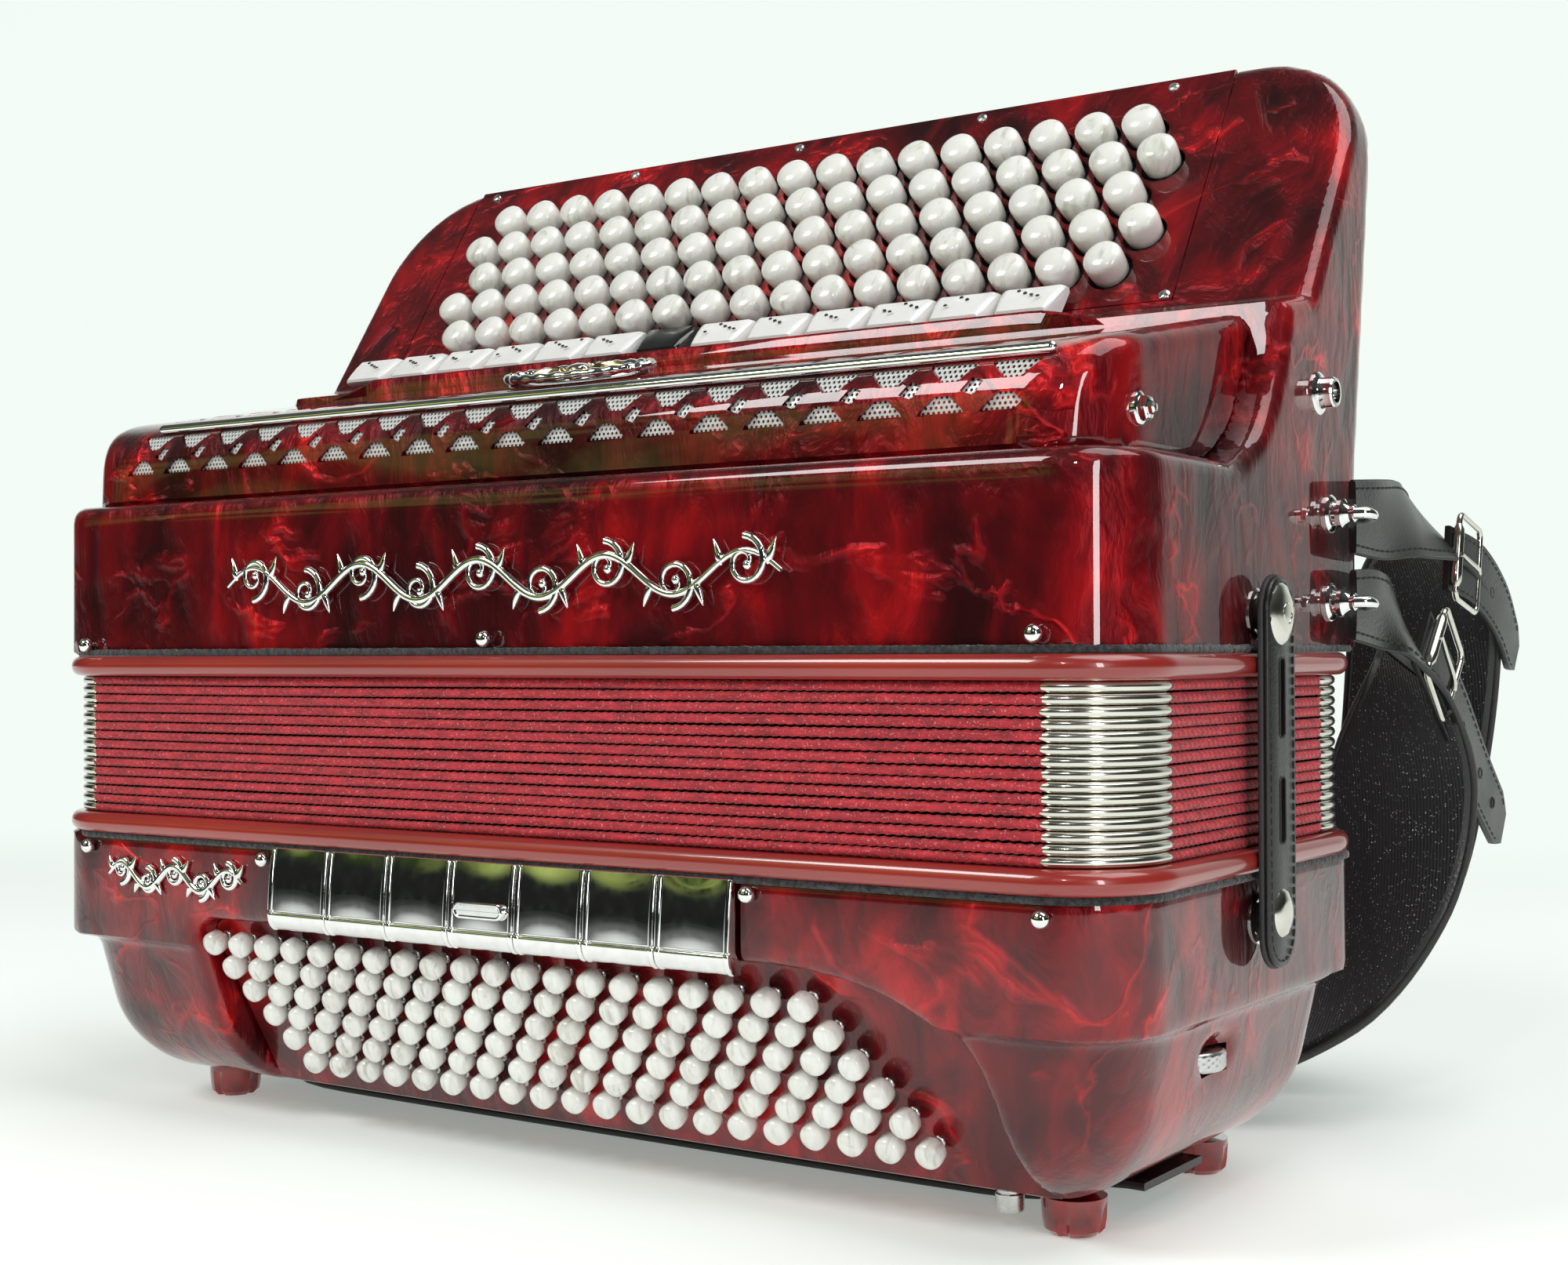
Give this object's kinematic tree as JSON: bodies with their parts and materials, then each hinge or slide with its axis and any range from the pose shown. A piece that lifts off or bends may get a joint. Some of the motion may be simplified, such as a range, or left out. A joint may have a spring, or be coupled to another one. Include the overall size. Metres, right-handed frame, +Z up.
{
  "type": "chromatic button accordion",
  "caption": "Red pearl button accordion standing on its bass end, with folded bellows, domed treble and bass buttons, register tabs, grille and leather straps.",
  "frame": {"origin": "middle of the footprint, straps included, on the surface that the feet stand on", "axes": "+X along the case towards the end with the strap adjusting wheel, -Y the way the grille and bass buttons face, +Z up from the bass end to the treble end"},
  "size_m": [0.4874, 0.349, 0.3837],
  "materials": {
    "pearloid_case": "polished deep red pearl celluloid",
    "frame_lacquer": "glossy brick red lacquer",
    "bellows_cloth": "crimson woven bellows cloth",
    "pearl_button": "polished white pearl plastic",
    "white_tab": "white plastic tab",
    "black_tab": "black plastic tab",
    "chrome_trim": "bright chrome",
    "steel_parts": "nickel-plated steel",
    "strap_leather": "black stitched leather",
    "strap_padding": "black padded leather with woven lining",
    "reed_wood": "planed softwood",
    "foot_plastic": "translucent red plastic"
  },
  "bodies": {
    "bass": {"bass_case": "pearloid_case", "bass_bottom_plate": "pearloid_case", "bass_button_plate": "pearloid_case", "bass_reed_block": "reed_wood", "bellows_frame_bass": "frame_lacquer", "hand_strap": "strap_leather", "foot_front_left": "foot_plastic", "foot_front_right": "foot_plastic", "foot_back_left": "foot_plastic", "foot_back_right": "foot_plastic"},
    "treble": {"treble_case": "pearloid_case", "bellows_frame_treble": "frame_lacquer", "grille_cover": "pearloid_case", "grille_screen": "steel_parts", "grille_strip": "chrome_trim", "badge": "chrome_trim", "treble_button_plate": "pearloid_case", "treble_reed_block": "reed_wood", "shoulder_strap_upper": "strap_padding", "shoulder_strap_lower": "strap_padding"},
    "folds_1": {"bellows_folds_1": "bellows_cloth"},
    "folds_2": {"bellows_folds_2": "bellows_cloth"},
    "folds_3": {"bellows_folds_3": "bellows_cloth"},
    "folds_4": {"bellows_folds_4": "bellows_cloth"},
    "folds_5": {"bellows_folds_5": "bellows_cloth"},
    "treble_row_1": {"treble_button_row_1": "pearl_button"},
    "treble_row_2": {"treble_button_row_2": "pearl_button"},
    "treble_row_3": {"treble_button_row_3": "pearl_button"},
    "treble_row_4": {"treble_button_row_4": "pearl_button"},
    "treble_row_5": {"treble_button_row_5": "pearl_button"},
    "bass_row_1": {"bass_button_row_1": "pearl_button"},
    "bass_row_2": {"bass_button_row_2": "pearl_button"},
    "bass_row_3": {"bass_button_row_3": "pearl_button"},
    "bass_row_4": {"bass_button_row_4": "pearl_button"},
    "bass_row_5": {"bass_button_row_5": "pearl_button"},
    "bass_row_6": {"bass_button_row_6": "pearl_button"},
    "treble_switch_1": {"treble_register_1": "white_tab"},
    "treble_switch_2": {"treble_register_2": "white_tab"},
    "treble_switch_3": {"treble_register_3": "white_tab"},
    "treble_switch_4": {"treble_register_4": "white_tab"},
    "treble_switch_5": {"treble_register_5": "white_tab"},
    "treble_switch_6": {"treble_register_6": "white_tab"},
    "treble_switch_7": {"treble_register_7": "black_tab"},
    "treble_switch_8": {"treble_register_8": "white_tab"},
    "treble_switch_9": {"treble_register_9": "white_tab"},
    "treble_switch_10": {"treble_register_10": "white_tab"},
    "treble_switch_11": {"treble_register_11": "white_tab"},
    "treble_switch_12": {"treble_register_12": "white_tab"},
    "treble_switch_13": {"treble_register_13": "white_tab"},
    "bass_switch_1": {"bass_register_1": "chrome_trim"},
    "bass_switch_2": {"bass_register_2": "chrome_trim"},
    "bass_switch_3": {"bass_register_3": "chrome_trim"},
    "bass_switch_4": {"bass_register_4": "chrome_trim"},
    "bass_switch_5": {"bass_register_5": "chrome_trim"},
    "bass_switch_6": {"bass_register_6": "chrome_trim"},
    "bass_switch_7": {"bass_register_7": "chrome_trim"},
    "air_valve": {"air_button": "steel_parts"},
    "wheel": {"strap_wheel": "steel_parts"},
    "bellows_strap_right_body": {"bellows_strap_right": "strap_leather"},
    "bellows_strap_left_body": {"bellows_strap_left": "strap_leather"}
  },
  "joints": [
    {"name": "bellows", "type": "slide", "parent": "bass", "child": "treble", "axis": [0, 0, 1], "range_m": [0, 0.3]},
    {"name": "fold_travel_1", "type": "slide", "parent": "bass", "child": "folds_1", "axis": [0, 0, 1], "range_m": [0, 0.0375]},
    {"name": "fold_travel_2", "type": "slide", "parent": "bass", "child": "folds_2", "axis": [0, 0, 1], "range_m": [0, 0.09375]},
    {"name": "fold_travel_3", "type": "slide", "parent": "bass", "child": "folds_3", "axis": [0, 0, 1], "range_m": [0, 0.15]},
    {"name": "fold_travel_4", "type": "slide", "parent": "bass", "child": "folds_4", "axis": [0, 0, 1], "range_m": [0, 0.20625]},
    {"name": "fold_travel_5", "type": "slide", "parent": "bass", "child": "folds_5", "axis": [0, 0, 1], "range_m": [0, 0.2625]},
    {"name": "treble_press_1", "type": "slide", "parent": "treble", "child": "treble_row_1", "axis": [0, 0.8425, -0.5388], "range_m": [0, 0.0025], "stiffness_N_per_m": 400, "springref_m": -0.004},
    {"name": "treble_press_2", "type": "slide", "parent": "treble", "child": "treble_row_2", "axis": [0, 0.8425, -0.5388], "range_m": [0, 0.0025], "stiffness_N_per_m": 400, "springref_m": -0.004},
    {"name": "treble_press_3", "type": "slide", "parent": "treble", "child": "treble_row_3", "axis": [0, 0.8425, -0.5388], "range_m": [0, 0.0025], "stiffness_N_per_m": 400, "springref_m": -0.004},
    {"name": "treble_press_4", "type": "slide", "parent": "treble", "child": "treble_row_4", "axis": [0, 0.8425, -0.5388], "range_m": [0, 0.0025], "stiffness_N_per_m": 400, "springref_m": -0.004},
    {"name": "treble_press_5", "type": "slide", "parent": "treble", "child": "treble_row_5", "axis": [0, 0.8425, -0.5388], "range_m": [0, 0.0025], "stiffness_N_per_m": 400, "springref_m": -0.004},
    {"name": "bass_press_1", "type": "slide", "parent": "bass", "child": "bass_row_1", "axis": [0, 0.9228, 0.3853], "range_m": [0, 0.0025], "stiffness_N_per_m": 400, "springref_m": -0.003},
    {"name": "bass_press_2", "type": "slide", "parent": "bass", "child": "bass_row_2", "axis": [0, 0.9228, 0.3853], "range_m": [0, 0.0025], "stiffness_N_per_m": 400, "springref_m": -0.003},
    {"name": "bass_press_3", "type": "slide", "parent": "bass", "child": "bass_row_3", "axis": [0, 0.9228, 0.3853], "range_m": [0, 0.0025], "stiffness_N_per_m": 400, "springref_m": -0.003},
    {"name": "bass_press_4", "type": "slide", "parent": "bass", "child": "bass_row_4", "axis": [0, 0.9228, 0.3853], "range_m": [0, 0.0025], "stiffness_N_per_m": 400, "springref_m": -0.003},
    {"name": "bass_press_5", "type": "slide", "parent": "bass", "child": "bass_row_5", "axis": [0, 0.9228, 0.3853], "range_m": [0, 0.0025], "stiffness_N_per_m": 400, "springref_m": -0.003},
    {"name": "bass_press_6", "type": "slide", "parent": "bass", "child": "bass_row_6", "axis": [0, 0.9228, 0.3853], "range_m": [0, 0.0025], "stiffness_N_per_m": 400, "springref_m": -0.003},
    {"name": "treble_switch_press_1", "type": "slide", "parent": "treble", "child": "treble_switch_1", "axis": [0, 1, 0], "range_m": [0, 0.002], "stiffness_N_per_m": 300, "springref_m": -0.003},
    {"name": "treble_switch_press_2", "type": "slide", "parent": "treble", "child": "treble_switch_2", "axis": [0, 1, 0], "range_m": [0, 0.002], "stiffness_N_per_m": 300, "springref_m": -0.003},
    {"name": "treble_switch_press_3", "type": "slide", "parent": "treble", "child": "treble_switch_3", "axis": [0, 1, 0], "range_m": [0, 0.002], "stiffness_N_per_m": 300, "springref_m": -0.003},
    {"name": "treble_switch_press_4", "type": "slide", "parent": "treble", "child": "treble_switch_4", "axis": [0, 1, 0], "range_m": [0, 0.002], "stiffness_N_per_m": 300, "springref_m": -0.003},
    {"name": "treble_switch_press_5", "type": "slide", "parent": "treble", "child": "treble_switch_5", "axis": [0, 1, 0], "range_m": [0, 0.002], "stiffness_N_per_m": 300, "springref_m": -0.003},
    {"name": "treble_switch_press_6", "type": "slide", "parent": "treble", "child": "treble_switch_6", "axis": [0, 1, 0], "range_m": [0, 0.002], "stiffness_N_per_m": 300, "springref_m": -0.003},
    {"name": "treble_switch_press_7", "type": "slide", "parent": "treble", "child": "treble_switch_7", "axis": [0, 1, 0], "range_m": [0, 0.002], "stiffness_N_per_m": 300, "springref_m": -0.003},
    {"name": "treble_switch_press_8", "type": "slide", "parent": "treble", "child": "treble_switch_8", "axis": [0, 1, 0], "range_m": [0, 0.002], "stiffness_N_per_m": 300, "springref_m": -0.003},
    {"name": "treble_switch_press_9", "type": "slide", "parent": "treble", "child": "treble_switch_9", "axis": [0, 1, 0], "range_m": [0, 0.002], "stiffness_N_per_m": 300, "springref_m": -0.003},
    {"name": "treble_switch_press_10", "type": "slide", "parent": "treble", "child": "treble_switch_10", "axis": [0, 1, 0], "range_m": [0, 0.002], "stiffness_N_per_m": 300, "springref_m": -0.003},
    {"name": "treble_switch_press_11", "type": "slide", "parent": "treble", "child": "treble_switch_11", "axis": [0, 1, 0], "range_m": [0, 0.002], "stiffness_N_per_m": 300, "springref_m": -0.003},
    {"name": "treble_switch_press_12", "type": "slide", "parent": "treble", "child": "treble_switch_12", "axis": [0, 1, 0], "range_m": [0, 0.002], "stiffness_N_per_m": 300, "springref_m": -0.003},
    {"name": "treble_switch_press_13", "type": "slide", "parent": "treble", "child": "treble_switch_13", "axis": [0, 1, 0], "range_m": [0, 0.002], "stiffness_N_per_m": 300, "springref_m": -0.003},
    {"name": "bass_switch_press_1", "type": "slide", "parent": "bass", "child": "bass_switch_1", "axis": [0, 1, 0], "range_m": [0, 0.003], "stiffness_N_per_m": 300, "springref_m": -0.003},
    {"name": "bass_switch_press_2", "type": "slide", "parent": "bass", "child": "bass_switch_2", "axis": [0, 1, 0], "range_m": [0, 0.003], "stiffness_N_per_m": 300, "springref_m": -0.003},
    {"name": "bass_switch_press_3", "type": "slide", "parent": "bass", "child": "bass_switch_3", "axis": [0, 1, 0], "range_m": [0, 0.003], "stiffness_N_per_m": 300, "springref_m": -0.003},
    {"name": "bass_switch_press_4", "type": "slide", "parent": "bass", "child": "bass_switch_4", "axis": [0, 1, 0], "range_m": [0, 0.003], "stiffness_N_per_m": 300, "springref_m": -0.003},
    {"name": "bass_switch_press_5", "type": "slide", "parent": "bass", "child": "bass_switch_5", "axis": [0, 1, 0], "range_m": [0, 0.003], "stiffness_N_per_m": 300, "springref_m": -0.003},
    {"name": "bass_switch_press_6", "type": "slide", "parent": "bass", "child": "bass_switch_6", "axis": [0, 1, 0], "range_m": [0, 0.003], "stiffness_N_per_m": 300, "springref_m": -0.003},
    {"name": "bass_switch_press_7", "type": "slide", "parent": "bass", "child": "bass_switch_7", "axis": [0, 1, 0], "range_m": [0, 0.003], "stiffness_N_per_m": 300, "springref_m": -0.003},
    {"name": "air_press", "type": "slide", "parent": "bass", "child": "air_valve", "axis": [0, 0, 1], "range_m": [0, 0.005], "stiffness_N_per_m": 300, "springref_m": -0.003},
    {"name": "wheel_turn", "type": "hinge", "parent": "bass", "child": "wheel", "pos_m": [0.208, -0.0883, 0.0505], "axis": [0, 0, 1], "continuous": true},
    {"name": "bellows_strap_swing_right", "type": "hinge", "parent": "treble", "child": "bellows_strap_right_body", "pos_m": [0.2305, -0.0723, 0.1844], "axis": [1, 0, 0], "range_deg": [-90, 0]},
    {"name": "bellows_strap_swing_left", "type": "hinge", "parent": "treble", "child": "bellows_strap_left_body", "pos_m": [-0.2305, -0.0723, 0.1844], "axis": [1, 0, 0], "range_deg": [-90, 0]}
  ],
  "couplings": [
    {"joint": "fold_travel_1", "follows": "bellows", "ratio": 0.125},
    {"joint": "fold_travel_2", "follows": "bellows", "ratio": 0.3125},
    {"joint": "fold_travel_3", "follows": "bellows", "ratio": 0.5},
    {"joint": "fold_travel_4", "follows": "bellows", "ratio": 0.6875},
    {"joint": "fold_travel_5", "follows": "bellows", "ratio": 0.875}
  ]
}
